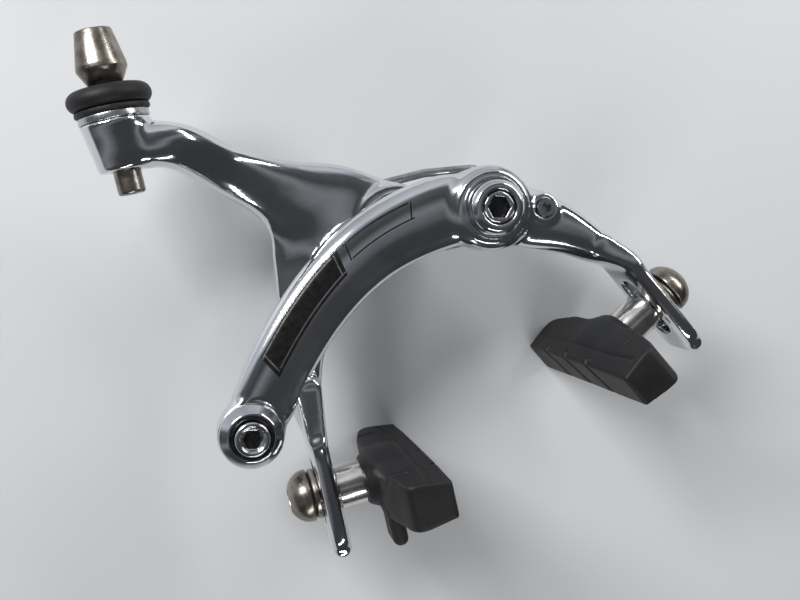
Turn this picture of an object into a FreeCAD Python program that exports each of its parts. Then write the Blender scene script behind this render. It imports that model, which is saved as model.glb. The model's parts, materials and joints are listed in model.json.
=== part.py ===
import FreeCAD, Part
import os
from math import cos, sin, radians, atan2, degrees, hypot
import Sketcher
from FreeCAD import Vector, Rotation, Placement

# Dual-pivot side-pull rim brake caliper, drawn fully open, in millimetres.
# Origin: on the mounting bolt's axis, at the face that seats on the fork crown.
# +Z is up, away from the wheel; the front of the caliper faces -Y; X is to the right seen from the front.

doc = FreeCAD.newDocument("rim_brake_caliper")
sheet = doc.addObject("Spreadsheet::Sheet", "Sizes")

SIZES = [
    # mounting bolt and the plate that ties the two pivots together
    ("stud_radius", 3.0), ("stud_reach", 26.0), ("journal_radius", 3.5), ("seat_washer_radius", 7.4),
    ("seat_washer_thick", 2.0),
    ("bridge_thick", 4.5), ("bridge_radius", 7.4), ("pivot_spacing_x", 17.0), ("pivot_drop", 4.9),
    ("friction_washer_thick", 0.5), ("running_gap", 0.05), ("soft_gap", 0.3), ("shoe_gap", 0.2),
    # rear arm
    ("rear_hub_radius", 8.3), ("rear_hub_thick", 8.0), ("bush_wall", 1.0), ("bolt_head_radius", 6.0),
    ("bolt_head_thick", 2.0), ("block_top_radius", 6.4), ("block_low_radius", 4.8), ("block_height", 9.0),
    # front arm
    ("front_boss_radius", 8.2), ("front_arm_gap", 0.9), ("front_arm_depth", 7.0), ("boss_rise", 2.6),
    ("side_bolt_radius", 3.0), ("side_head_radius", 5.3), ("side_head_height", 3.3),
    ("anchor_x", 44.7), ("anchor_drop", 21.1), ("anchor_eye_radius", 6.4), ("anchor_bolt_radius", 2.5),
    ("anchor_washer_radius", 6.2), ("anchor_washer_height", 2.3), ("anchor_head_radius", 3.9),
    # cable adjuster, along its own tilted axis
    ("barrel_x", 37.4), ("barrel_rise", 45.7), ("barrel_tilt", 15.3), ("cable_plane", 20.4),
    ("ring_radius", 7.7), ("ring_wire", 1.9), ("barrel_top_radius", 3.3), ("barrel_wide_radius", 4.6),
    ("barrel_neck_radius", 3.0), ("barrel_stem_radius", 2.5), ("barrel_height", 12.2), ("socket_radius", 2.1),
    ("socket_depth", 6.0), ("cable_hole_radius", 0.9),
    # brake shoes
    ("left_face_x", 18.0), ("right_face_x", 19.9), ("shoe_drop", 44.6), ("shoe_plane", 16.4),
    ("left_tilt", 15.0), ("right_tilt", 14.0), ("shoe_length", 52.0), ("shoe_height", 9.2),
    ("shoe_thick", 10.6), ("post_radius", 3.0), ("spacer_radius", 4.3), ("left_strap_from", 18.2),
    ("right_strap_from", 19.6), ("strap_thick", 3.6), ("strap_width", 14.0), ("slot_half_travel", 4.0),
    ("dome_radius", 5.2), ("dome_height", 4.2), ("dish_thick", 1.4),
]
for row, (name, value) in enumerate(SIZES, start=1):
    sheet.set("A%d" % row, name)
    sheet.set("B%d" % row, repr(value))
    sheet.setAlias("B%d" % row, name)
doc.recompute()
S = {name: float(sheet.get(name)) for name, _ in SIZES}

FRONTWARD = Rotation(Vector(1, 0, 0), 90)          # turns a piece's own +Z to -Y, the front
subparts = []


def keep(piece, label, base=(0, 0, 0), turn=Rotation()):
    """Name a finished sub-part and put it in its place."""
    piece.Placement = Placement(Vector(*base), turn)
    piece.Label = label
    subparts.append(piece)
    return piece


def turned(label, profile):
    """A body turned about its own Z axis from (radius, height) corners given as sheet expressions."""
    body = doc.addObject("PartDesign::Body", label + "_body")
    plane = [f for f in body.Origin.OriginFeatures if f.Role == "XZ_Plane"][0]
    sketch = body.newObject("Sketcher::SketchObject", label + "_profile")
    sketch.AttachmentSupport = [(plane, "")]
    sketch.MapMode = "FlatFace"
    corners = [Vector(measure(r), measure(z), 0) for r, z in profile]
    count = len(corners)
    for i in range(count):
        sketch.addGeometry(Part.LineSegment(corners[i], corners[(i + 1) % count]), False)
    for i in range(count):
        sketch.addConstraint(Sketcher.Constraint("Coincident", i, 2, (i + 1) % count, 1))
    for i, (r, z) in enumerate(profile):
        for axis, text, line in (("DistanceX", r, -2), ("DistanceY", z, -1)):
            if text == "0":
                sketch.addConstraint(Sketcher.Constraint("PointOnObject", i, 1, line))
            else:
                at = sketch.addConstraint(Sketcher.Constraint(axis, -1, 1, i, 1, measure(text)))
                sketch.setExpression("Constraints[%d]" % at, cell(text))
    spin = body.newObject("PartDesign::Revolution", label + "_turning")
    spin.Profile = sketch
    spin.ReferenceAxis = (sketch, ["V_Axis"])
    spin.Angle = 360
    sketch.Visibility = False
    return body


def words(text):
    """Names in an expression, longest first, so that no name is replaced inside a longer one."""
    return sorted((n for n in S if n in text), key=len, reverse=True)


def cell(text):
    """A size expression with each name read from the sheet."""
    marked = text
    for i, name in enumerate(words(text)):
        marked = marked.replace(name, "<%d>" % i)
    for i, name in enumerate(words(text)):
        marked = marked.replace("<%d>" % i, "Sizes." + name)
    return marked


def measure(text):
    """The present value of a size expression: a sum of products of names and numbers."""
    total = 0.0
    for term in text.replace("-", "+-").split("+"):
        if term.strip():
            sign = -1.0 if term.strip().startswith("-") else 1.0
            product = 1.0
            for factor in term.replace("-", "").split("*"):
                factor = factor.strip()
                product *= S[factor] if factor in S else float(factor)
            total += sign * product
    return total


def disc(name, radius, height, base=(0, 0, 0), turn=Rotation()):
    """A cylinder whose radius and height are sheet expressions."""
    piece = doc.addObject("Part::Cylinder", name)
    piece.setExpression("Radius", cell(radius))
    piece.setExpression("Height", cell(height))
    piece.Placement = Placement(Vector(*base), turn)
    return piece


def hexagon(name, across, height, base=(0, 0, 0), turn=Rotation()):
    """A hexagonal bar, for sockets and nuts; across is the corner radius."""
    piece = doc.addObject("Part::Prism", name)
    piece.Polygon = 6
    piece.Circumradius = across
    piece.Height = height
    piece.Placement = Placement(Vector(*base), turn)
    return piece


def less(name, base, tool):
    piece = doc.addObject("Part::Cut", name)
    piece.Base = base
    piece.Tool = tool
    return piece


def ring(name, outer, inner, height):
    """A flat ring or bush standing on its own XY plane."""
    return less(name, disc(name + "_outer", outer, height), disc(name + "_hole", inner, height))


def bolt_like(label, profile, socket_corner, socket_depth, top):
    """A turned bolt with a hexagon socket sunk in its top."""
    body = turned(label, profile)
    return less(label + "_cut", body, hexagon(label + "_socket", socket_corner, socket_depth,
                                              (0, 0, top - socket_depth)))


# ---------------------------------------------------------------- depth of each layer, front is negative
hub = Vector(0, 0, 0)
side = Vector(S["pivot_spacing_x"], 0, -S["pivot_drop"])
anchor = Vector(-S["anchor_x"], 0, -S["anchor_drop"])
y_bridge = -S["seat_washer_thick"]
y_friction = y_bridge - S["bridge_thick"]
y_hub = y_friction - S["friction_washer_thick"]
y_hub_front = y_hub - S["rear_hub_thick"]
y_front_back = y_hub_front - S["front_arm_gap"]
y_front = y_front_back - S["front_arm_depth"]
y_boss = y_front - S["boss_rise"] + 2.0
gap = S["running_gap"]

# ---------------------------------------------------------------- arms: lofted forgings
def section(centre, across, half_across, front, back, power=2.6, count=20):
    """A closed superellipse: half_across along 'across' in the XZ plane, front..back along Y."""
    points = []
    mid, half_depth = (front + back) / 2, (back - front) / 2
    for i in range(count):
        a = radians(360.0 * i / count)
        u = abs(cos(a)) ** (2 / power) * (1 if cos(a) >= 0 else -1) * half_across
        v = abs(sin(a)) ** (2 / power) * (1 if sin(a) >= 0 else -1) * half_depth
        points.append(Vector(centre.x + across.x * u, mid + v, centre.z + across.z * u))
    curve = Part.BSplineCurve()
    curve.interpolate(points, PeriodicFlag=True)
    return Part.Wire([curve.toShape()])


def limb(stations):
    """A solid limb through stations of (x, z, width, front, back); each section is square to the path."""
    wires = []
    for i, (x, z, width, front, back) in enumerate(stations):
        before, after = stations[max(i - 1, 0)], stations[min(i + 1, len(stations) - 1)]
        dx, dz = after[0] - before[0], after[1] - before[1]
        size = hypot(dx, dz)
        wires.append(section(Vector(x, 0, z), Vector(-dz / size, 0, dx / size), width / 2, front, back))
    return Part.makeLoft(wires, True, False)


def joined(pieces):
    """One solid from overlapping pieces, added one at a time."""
    whole = pieces[0]
    for piece in pieces[1:]:
        whole = whole.fuse(piece)
    return whole


def post(centre, radius, front, back):
    """A cylinder along Y."""
    return Part.makeCylinder(radius, back - front, Vector(centre.x, front, centre.z), Vector(0, 1, 0))


def shoe_frame(sign):
    """Centre of the braking face and its outward and upward directions; sign is -1 left, +1 right."""
    name = "left" if sign < 0 else "right"
    tilt = radians(S[name + "_tilt"])
    centre = Vector(sign * S[name + "_face_x"], -S["shoe_plane"], -S["shoe_drop"])
    return centre, Vector(sign * cos(tilt), 0, sin(tilt)), Vector(-sign * sin(tilt), 0, cos(tilt))


def strap_point(sign, up):
    """A point on the middle of the strap that carries a shoe, up millimetres above the shoe's post."""
    centre, outward, upward = shoe_frame(sign)
    away = S[("left" if sign < 0 else "right") + "_strap_from"] + S["strap_thick"] / 2
    return centre + outward * away + upward * up


def strap_slot(sign):
    """The slot in a strap for the shoe's post: round ends, running up and down."""
    centre, outward, upward = shoe_frame(sign)
    radius = S["post_radius"] + S["soft_gap"]
    start = strap_point(sign, 0) - outward * S["strap_thick"] * 2
    length = S["strap_thick"] * 4
    tool = Part.makeBox(length, 2 * radius, 2 * S["slot_half_travel"],
                        Vector(0, -radius, -S["slot_half_travel"]))
    for end in (-1, 1):
        tool = tool.fuse(Part.makeCylinder(radius, length, Vector(0, 0, end * S["slot_half_travel"]),
                                           Vector(1, 0, 0)))
    tool.Placement = Placement(start, Rotation(outward, outward.cross(upward) * -1, upward, "XZY"))
    return tool


def strap_stations(sign, lead):
    """The strap's own stations, from its top to its rounded tip, after the given lead-in."""
    front = -S["shoe_plane"] - S["strap_width"] / 2
    back = -S["shoe_plane"] + S["strap_width"] / 2
    stations = list(lead)
    for up, trim, thick in ((7.5, 0.0, 1.0), (0.0, 0.0, 1.0), (-7.5, 0.6, 0.95), (-11.5, 3.6, 0.75)):
        at = strap_point(sign, up)
        stations.append((at.x, at.z, S["strap_thick"] * thick, front + trim, back - trim))
    return limb(stations)


# cable adjuster axis, used by the block on the rear arm and by all that sits in it
tilt = radians(S["barrel_tilt"])
barrel_dir = Vector(sin(tilt), 0, cos(tilt))
barrel_at = Vector(-S["barrel_x"], -S["cable_plane"], S["barrel_rise"])
barrel_turn = Rotation(Vector(0, 1, 0), S["barrel_tilt"])
block_top = barrel_at - barrel_dir * (S["ring_wire"] + 2.3)
block_low = block_top - barrel_dir * S["block_height"]
stem_hole = S["barrel_stem_radius"] + gap

# rear arm: hub, upper limb to the adjuster block, lower limb to the left strap, and the web between them
block_mid = (block_top + block_low) * 0.5
y_lead, y_tail = y_hub_front + 0.35, y_hub - 0.35
upper = limb([
    (1.0, 0.8, 13.0, y_lead, y_tail),
    (-7.6, 8.6, 15.0, y_lead, y_tail),
    (-16.0, 15.8, 12.4, y_lead - 0.6, y_tail - 0.6),
    (-23.8, 24.0, 9.4, y_lead - 3.2, y_tail - 2.4),
    (-31.0, 32.8, 8.2, block_mid.y - 4.6, block_mid.y + 4.8),
    (block_mid.x, block_mid.z, 7.0, block_mid.y - 4.0, block_mid.y + 4.0)])
y_low, y_low_tail = y_lead + 0.5, y_tail - 0.5
lower = strap_stations(-1, [
    (-1.0, -0.6, 12.0, y_low, y_low_tail),
    (-11.0, -1.6, 13.0, y_low, y_low_tail),
    (-20.5, -5.4, 11.0, y_low, y_low_tail),
    (-28.0, -13.5, 8.4, y_low, y_low_tail),
    (-32.6, -22.5, 6.4, y_low - 1.4, y_low_tail - 0.5)])
web = Part.Face(Part.makePolygon([Vector(x, y_hub_front + 1.6, z) for x, z in
                                  ((0, 2), (-18, 19), (-22.5, 13.5), (-23.2, 6), (-25, -3), (-12, -2), (0, 2))]))
web = web.extrude(Vector(0, S["rear_hub_thick"] - 3.2, 0))
block = Part.makeCone(S["block_low_radius"], S["block_top_radius"], S["block_height"], block_low, barrel_dir)
rear = joined([post(hub, S["rear_hub_radius"], y_hub_front, y_hub), upper, lower, web, block])
bush_outer = S["journal_radius"] + gap + S["bush_wall"]
rear = rear.cut(post(hub, bush_outer, y_hub_front - 5, y_hub + 1))
rear = rear.cut(post(hub, S["bolt_head_radius"] + 0.3, y_hub_front - 5,
                     y_hub_front + S["bolt_head_thick"] + 0.2))
rear = rear.cut(Part.makeCylinder(stem_hole, 40, barrel_at - barrel_dir * 26, barrel_dir))
rear = rear.cut(strap_slot(-1))
rear = rear.cut(post(hub, S["bridge_radius"] + 4, y_hub, y_hub + 4))
rear_arm = doc.addObject("Part::Feature", "rear_arm_forging")
rear_arm.Shape = rear
keep(rear_arm, "rear_arm")

# front arm: anchor eye, arch, boss and the limb down to the right strap
y_mid_back = y_front_back
arch = limb([
    (side.x - 1.0, side.z + 0.4, 13.4, y_front + 0.5, y_mid_back - 0.3),
    (8.0, -1.3, 14.4, y_front + 0.2, y_mid_back - 0.3),
    (-3.0, -0.4, 14.0, y_front + 0.2, y_mid_back - 0.3),
    (-13.0, -2.0, 13.2, y_front + 0.2, y_mid_back - 0.3),
    (-23.0, -6.0, 12.4, y_front + 0.2, y_mid_back - 0.3),
    (-32.8, -11.9, 12.3, y_front + 0.3, y_mid_back - 0.3),
    (-39.7, -17.2, 12.0, y_front + 0.6, y_mid_back - 0.3),
    (anchor.x + 1.6, anchor.z + 1.2, 10.4, y_front + 1.2, y_mid_back - 0.4)])
right_limb = strap_stations(1, [
    (side.x + 1.0, side.z - 1.0, 11.0, y_front + 1.2, y_mid_back - 0.8),
    (23.8, -10.8, 11.2, y_front + 0.9, y_mid_back + 0.6),
    (28.8, -17.2, 8.2, y_front + 0.5, y_mid_back + 2.6),
    (32.9, -25.4, 5.4, y_front + 0.2, y_mid_back + 5.2)])
front = joined([post(side, S["front_boss_radius"], y_front, y_mid_back),
                post(side, S["front_boss_radius"] - 1.0, y_boss, y_front + 1),
                post(side, S["front_boss_radius"] - 2.2, y_mid_back - 1, y_hub),
                arch, right_limb, post(anchor, S["anchor_eye_radius"], y_front + 0.8, y_mid_back)])
side_bush = S["side_bolt_radius"] + gap + S["bush_wall"]
roller_at = hub + (side - hub) * 0.565
front = front.cut(post(side, side_bush, y_boss - 1, y_hub + 1))
front = front.cut(post(anchor, S["anchor_bolt_radius"] + 0.2, y_front - 2, y_mid_back + 2))
front = front.cut(strap_slot(1))
front = front.cut(post(anchor, S["anchor_washer_radius"] + 0.6, y_front - 3, y_front + 0.8))
pin_radius = 1.0
front = front.cut(post(roller_at, pin_radius, y_mid_back - 3.0, y_mid_back + 1))
screw_at = Vector(side.x + 9.6, 0, side.z - 5.0)
screw_radius = 1.75
front = front.cut(post(screw_at, screw_radius + gap, y_front - 3, y_mid_back + 9))
front_arm = doc.addObject("Part::Feature", "front_arm_forging")
front_arm.Shape = front
keep(front_arm, "front_arm")

# equaliser: a roller on the front arm runs in a notch of the rear hub, so both arms move together
roller_radius = 1.7
notch_half = roller_radius + 0.3
notch = Part.makeBox(6.0, S["rear_hub_thick"] + 2, 2 * notch_half, Vector(-notch_half, 0, -notch_half))
notch.Placement = Placement(Vector(roller_at.x, y_hub_front - 1, roller_at.z),
                            Rotation(Vector(0, 1, 0), degrees(atan2(-side.z, side.x))))
boss_clear = post(side, S["front_boss_radius"] - 2.2 + 0.8, y_hub_front - 1, y_hub + 1)
rear_arm.Shape = rear.cut(notch).cut(boss_clear)

# ---------------------------------------------------------------- mounting bolt, seat washer and bridge
keep(turned("mounting_bolt", [
    ("0", "-1*stud_reach"), ("stud_radius-0.6", "-1*stud_reach"), ("stud_radius", "0.6-1*stud_reach"),
    ("stud_radius", "0"), ("journal_radius", "0"),
    ("journal_radius", "seat_washer_thick+bridge_thick+friction_washer_thick+rear_hub_thick-1*bolt_head_thick+0.1"),
    ("bolt_head_radius", "seat_washer_thick+bridge_thick+friction_washer_thick+rear_hub_thick-1*bolt_head_thick+0.1"),
    ("bolt_head_radius", "seat_washer_thick+bridge_thick+friction_washer_thick+rear_hub_thick"),
    ("0", "seat_washer_thick+bridge_thick+friction_washer_thick+rear_hub_thick")]),
    "mounting_bolt", (0, 0, 0), FRONTWARD)

teeth_count = 24
washer = Part.makeCylinder(S["seat_washer_radius"], S["seat_washer_thick"])
washer = washer.cut(Part.makeCylinder(S["journal_radius"], S["seat_washer_thick"]))
for i in range(teeth_count):
    groove = Part.makeCylinder(0.35, 3.0, Vector(S["seat_washer_radius"] - 2.6, 0, 0), Vector(1, 0, 0))
    groove.rotate(Vector(0, 0, 0), Vector(0, 0, 1), 360.0 * i / teeth_count)
    washer = washer.cut(groove)
seat = doc.addObject("Part::Feature", "seat_washer_ring")
seat.Shape = washer
keep(seat, "toothed_seat_washer", (0, 0, 0), FRONTWARD)

plate = doc.addObject("Part::Feature", "bridge_plate_blank")
angle = atan2(side.z, side.x)
tangent = Vector(-sin(angle), 0, cos(angle)) * S["bridge_radius"]
strip = Part.Face(Part.makePolygon([hub + tangent, side + tangent, side - tangent, hub - tangent, hub + tangent]))
strip = strip.extrude(Vector(0, S["bridge_thick"], 0))
strip.translate(Vector(0, y_friction, 0))
blank = strip.fuse([post(hub, S["bridge_radius"], y_friction, y_bridge),
                    post(side, S["bridge_radius"], y_friction, y_bridge)]).removeSplitter()
for centre, radius in ((hub, S["journal_radius"]), (side, S["side_bolt_radius"])):
    blank = blank.cut(post(centre, radius, y_friction - 1, y_bridge + 1))
plate.Shape = blank
keep(plate, "pivot_bridge")

# ---------------------------------------------------------------- pivots
friction = ring("rear_friction", "bridge_radius-1", "journal_radius+running_gap", "friction_washer_thick")
keep(friction, "rear_friction_washer", (0, y_friction, 0), FRONTWARD)
friction = ring("side_friction", "front_boss_radius-2.4", "side_bolt_radius+running_gap", "friction_washer_thick")
keep(friction, "side_friction_washer", (side.x, y_friction, side.z), FRONTWARD)
bush = ring("rear_bush", "journal_radius+running_gap+bush_wall", "journal_radius+running_gap",
            "rear_hub_thick-1*bolt_head_thick-0.3")
keep(bush, "rear_pivot_bush", (0, y_hub, 0), FRONTWARD)
bush = ring("side_bush", "side_bolt_radius+running_gap+bush_wall", "side_bolt_radius+running_gap",
            "rear_hub_thick+front_arm_gap+front_arm_depth+boss_rise-2")
keep(bush, "side_pivot_bush", (side.x, y_hub, side.z), FRONTWARD)

cap = ring("cap_ring", "front_boss_radius-2", "side_bolt_radius+running_gap", "friction_washer_thick")
keep(cap, "side_cap_washer", (side.x, y_boss, side.z), FRONTWARD)
shank = "rear_hub_thick+front_arm_gap+front_arm_depth+boss_rise-2+2*friction_washer_thick+bridge_thick"
side_bolt = bolt_like("side_bolt", [
    ("0", "0"), ("side_bolt_radius", "0"), ("side_bolt_radius", shank), ("side_head_radius", shank),
    ("side_head_radius", shank + "+side_head_height-1.2"), ("side_head_radius-1.2", shank + "+side_head_height"),
    ("0", shank + "+side_head_height")], 2.3, 2.6, measure(shank + "+side_head_height"))
keep(side_bolt, "side_pivot_bolt", (side.x, y_bridge, side.z), FRONTWARD)

# ---------------------------------------------------------------- equaliser and centring screw
pin = disc("equaliser_stub", "1.0", "rear_hub_thick-1.2+front_arm_gap+3")
keep(pin, "equaliser_pin", (roller_at.x, y_hub - 1.2, roller_at.z), FRONTWARD)
roller = ring("equaliser_wheel", "1.7", "1.0+running_gap", "rear_hub_thick-2.4")
keep(roller, "equaliser_roller", (roller_at.x, y_hub - 1.4, roller_at.z), FRONTWARD)
grub_length = 7.6
grub = bolt_like("centring", [("0", "0"), ("0.9", "0"), ("1.75", "0.8"), ("1.75", "7.6"), ("0", "7.6")],
                 1.1, 2.0, grub_length)
keep(grub, "centring_screw", (screw_at.x, y_front + grub_length - 0.4, screw_at.z), FRONTWARD)

# return spring: one bent wire behind the arms, from the rear arm's lower limb over the bridge
wire_radius = 0.9
y_spring = y_friction + wire_radius + 0.8
spring_points = [Vector(-22.0, y_spring, -6.5), Vector(-10.5, y_spring, 5.5), Vector(-1.0, y_spring, 9.3),
                 Vector(12.0, y_spring, 6.2), Vector(22.5, y_spring, 2.0), Vector(28.5, y_spring, -9.0)]


def rounded_path(points, radius):
    """Straight runs joined by tangent arcs of one radius."""
    edges, start = [], points[0]
    for before, corner, after in zip(points, points[1:], points[2:]):
        come, go = (before - corner).normalize(), (after - corner).normalize()
        half = come.getAngle(go) / 2
        cut = radius / (sin(half) / cos(half))
        first, last = corner + come * cut, corner + go * cut
        middle = corner + (come + go).normalize() * (radius / sin(half) - radius)
        edges += [Part.LineSegment(start, first).toShape(), Part.Arc(first, middle, last).toShape()]
        start = last
    return Part.Wire(edges + [Part.LineSegment(start, points[-1]).toShape()])


path = rounded_path(spring_points, 5.0)
heading = spring_points[1] - spring_points[0]
spring = doc.addObject("Part::Feature", "spring_wire")
spring.Shape = path.makePipeShell([Part.Wire([Part.makeCircle(wire_radius, spring_points[0], heading)])], True, True)
keep(spring, "return_spring")

# ---------------------------------------------------------------- cable anchor
y_eye = y_front + 0.8
dish = less("anchor_dish_cut", turned("anchor_dish", [
    ("0", "0"), ("anchor_washer_radius", "0"), ("anchor_washer_radius", "0.8"),
    ("anchor_head_radius+0.6", "anchor_washer_height"), ("0", "anchor_washer_height")]),
    disc("anchor_dish_hole", "anchor_bolt_radius+running_gap", "anchor_washer_height"))
keep(dish, "cable_clamp_washer", (anchor.x, y_eye, anchor.z), FRONTWARD)
shank = "front_arm_depth-0.8+3.4+anchor_washer_height"
anchor_bolt = bolt_like("clamp_bolt", [
    ("0", "0"), ("anchor_bolt_radius", "0"), ("anchor_bolt_radius", shank), ("anchor_head_radius", shank),
    ("anchor_head_radius", shank + "+1.1"), ("anchor_head_radius-0.6", shank + "+1.7"), ("0", shank + "+1.7")],
    1.95, 1.5, measure(shank + "+1.7"))
keep(anchor_bolt, "cable_clamp_bolt", (anchor.x, y_mid_back + 3.4, anchor.z), FRONTWARD)
nut = less("clamp_nut_cut", hexagon("clamp_nut_bar", 4.6, 3.0), disc("clamp_nut_hole", "anchor_bolt_radius", "3"))
keep(nut, "cable_clamp_nut", (anchor.x, y_mid_back + 3.0, anchor.z), FRONTWARD)

# ---------------------------------------------------------------- cable adjuster, heights along its axis
rest_on = barrel_at - barrel_dir * (S["ring_wire"] + 2.3)
washer = ring("adjuster_seat", "block_top_radius", "barrel_stem_radius+0.1", "1.3")
keep(washer, "adjuster_washer", rest_on, barrel_turn)
wheel = less("adjuster_wheel_cut", turned("adjuster_wheel", [
    ("0", "-1*ring_wire-1.0"), ("block_top_radius+0.4", "-1*ring_wire-1.0"), ("block_top_radius+0.4", "-1*ring_wire"),
    ("ring_radius-2*ring_wire", "-1*ring_wire"), ("ring_radius-2*ring_wire", "ring_wire-0.2"), ("0", "ring_wire-0.2")]),
    disc("adjuster_wheel_hole", "barrel_stem_radius+running_gap", "8", (0, 0, -4)))
keep(wheel, "adjuster_thumbwheel", barrel_at, barrel_turn)
rubber = doc.addObject("Part::Torus", "thumbwheel_rubber")
rubber.setExpression("Radius1", cell("ring_radius-ring_wire"))
rubber.setExpression("Radius2", cell("ring_wire"))
keep(rubber, "thumbwheel_rubber_ring", barrel_at, barrel_turn)
barrel = turned("barrel", [
    ("cable_hole_radius", "-17.6"), ("barrel_stem_radius", "-17.6"), ("barrel_stem_radius", "ring_wire+0.4"),
    ("barrel_neck_radius", "ring_wire+0.4"), ("barrel_wide_radius", "5.2"), ("barrel_wide_radius", "5.9"),
    ("barrel_top_radius", "barrel_height"), ("socket_radius", "barrel_height"),
    ("socket_radius", "barrel_height-1*socket_depth"), ("cable_hole_radius", "barrel_height-1*socket_depth")])
keep(barrel, "adjuster_barrel", barrel_at, barrel_turn)


# ---------------------------------------------------------------- brake shoes
def shoe(sign):
    """One shoe with its post, spacers and dome nut; local X runs outwards from the rim."""
    name = "left" if sign < 0 else "right"
    centre, outward, upward = shoe_frame(sign)
    turn = Rotation(outward, upward.cross(outward), upward, "XZY")
    along = Rotation(Vector(0, 1, 0), 90)                  # own +Z to local +X
    strap = S[name + "_strap_from"]
    half, tall, thick = S["shoe_length"] / 2, S["shoe_height"] / 2, S["shoe_thick"]
    hump = thick + 2.0

    plan = [(0, -half + 1.5), (0, half - 1.5), (2.0, half), (thick - 3.2, half - 1.2), (thick - 1.2, half - 8),
            (thick - 0.4, 8), (hump, 4.6), (hump, -4.6), (thick - 0.4, -8), (thick - 1.2, 8 - half),
            (thick - 3.2, 1.2 - half), (2.0, -half)]
    corners = [Vector(x, y, -tall) for x, y in plan]
    block = Part.Face(Part.makePolygon(corners + corners[:1])).extrude(Vector(0, 0, 2 * tall))
    face_narrower, narrow_to = 0.9, 7.0
    for edge in (-1, 1):
        chamfer = [Vector(-1.0, -half - 1, edge * (tall - face_narrower * (narrow_to + 1) / narrow_to)),
                   Vector(narrow_to, -half - 1, edge * tall), Vector(narrow_to, -half - 1, edge * (tall + 1)),
                   Vector(-1.0, -half - 1, edge * (tall + 1))]
        block = block.cut(Part.Face(Part.makePolygon(chamfer + chamfer[:1])).extrude(Vector(0, 2 * half + 2, 0)))
    groove_width, groove_deep = 1.0, 1.6
    for at in (-12.0, -1.0, 10.0):
        groove = Part.makeBox(groove_deep * 2, groove_width, 4 * tall, Vector(-groove_deep, at, -2 * tall))
        groove.rotate(Vector(0, at, 0), Vector(1, 0, 0), -28)
        block = block.cut(groove)
    fin = Part.makeCylinder(3.2, 2.4, Vector(thick - 4.4, 11.0, -tall - 1.4), Vector(1, 0, 0))
    fin = fin.fuse(Part.makeBox(2.4, 6.4, 2.6, Vector(thick - 4.4, 7.8, -tall - 1.4)))
    seat_depth = 3.0
    hole = Part.makeCylinder(S["post_radius"] + gap, 20, Vector(hump - seat_depth - gap, 0, 0), Vector(1, 0, 0))
    rubber = doc.addObject("Part::Feature", name + "_shoe_rubber")
    rubber.Shape = block.fuse(fin).removeSplitter().cut(hole)
    keep(rubber, name + "_brake_pad", centre, turn)

    post_from = hump - seat_depth
    outside = strap + S["strap_thick"]
    stud = disc(name + "_post_bar", "post_radius", "%.4f" % (outside + S["dish_thick"] + 2.2 - post_from))
    keep(stud, name + "_pad_post", centre + outward * post_from, turn * along)
    spacer = ring(name + "_spacer_tube", "spacer_radius", "post_radius", "%.4f" % (strap - S["shoe_gap"] - gap - hump))
    keep(spacer, name + "_pad_spacer", centre + outward * (hump + gap), turn * along)
    dish = less(name + "_dish_cut", turned(name + "_dish", [
        ("0", "0"), ("dome_radius-0.2", "0"), ("dome_radius-0.2", "dish_thick-0.5"), ("dome_radius-0.9", "dish_thick"),
        ("0", "dish_thick")]), disc(name + "_dish_hole", "post_radius", "dish_thick"))
    keep(dish, name + "_dished_washer", centre + outward * (outside + S["shoe_gap"]), turn * along)
    steps = 8
    dome_profile = [("0", "0"), ("dome_radius", "0")] + [
        ("%.5f*dome_radius" % cos(radians(90.0 * i / steps)), "0.6+%.5f*dome_height" % sin(radians(90.0 * i / steps)))
        for i in range(steps)] + [("0", "0.6+dome_height")]
    nut = less(name + "_dome_cut", turned(name + "_dome", dome_profile),
               disc(name + "_dome_hole", "post_radius", "2.2"))
    top = 0.6 + S["dome_height"]
    nut = less(name + "_dome_cut_2", nut, hexagon(name + "_dome_socket", 2.3, 2.4, (0, 0, top - 2.2)))
    keep(nut, name + "_dome_nut", centre + outward * (outside + S["shoe_gap"] + S["dish_thick"]), turn * along)


for sign in (-1, 1):
    shoe(sign)

doc.recompute()
faults = [o.Name for o in doc.Objects if "Invalid" in o.State or "Error" in o.State]
faults += [p.Label for p in subparts if p.Shape.isNull() or not p.Shape.isValid()]
if faults:
    raise RuntimeError("these did not build: " + ", ".join(faults))

os.makedirs("parts", exist_ok=True)
for piece in subparts:
    piece.Shape.exportStep("parts/%s.step" % piece.Label)
    print("%-26s %10.2f mm3  %d solids" % (piece.Label, piece.Shape.Volume, len(piece.Shape.Solids)))
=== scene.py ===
# %% [markdown]
# # A dual-pivot rim brake caliper
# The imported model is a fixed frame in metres. This file gives every part its finish, and replaces the
# faceted forgings, shoes and turned parts with smooth surfaces worked out from formulas.

# %% Load the frame
import json
import bmesh
import bpy
import numpy as np
from mathutils import Matrix, Vector


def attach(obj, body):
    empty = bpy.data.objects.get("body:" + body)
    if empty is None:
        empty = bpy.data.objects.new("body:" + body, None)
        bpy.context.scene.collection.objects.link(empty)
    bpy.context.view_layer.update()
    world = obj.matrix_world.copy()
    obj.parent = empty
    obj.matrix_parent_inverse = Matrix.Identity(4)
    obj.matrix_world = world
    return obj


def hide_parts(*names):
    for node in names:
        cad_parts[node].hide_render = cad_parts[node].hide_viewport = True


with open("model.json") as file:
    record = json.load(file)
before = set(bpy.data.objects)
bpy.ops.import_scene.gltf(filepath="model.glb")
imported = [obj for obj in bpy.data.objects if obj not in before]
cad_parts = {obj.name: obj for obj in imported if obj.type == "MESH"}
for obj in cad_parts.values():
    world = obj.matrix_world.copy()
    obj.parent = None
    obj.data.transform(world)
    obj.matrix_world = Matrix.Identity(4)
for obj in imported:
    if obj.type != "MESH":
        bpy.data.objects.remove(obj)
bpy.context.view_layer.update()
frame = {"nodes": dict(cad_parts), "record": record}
MM = 0.001

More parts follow.
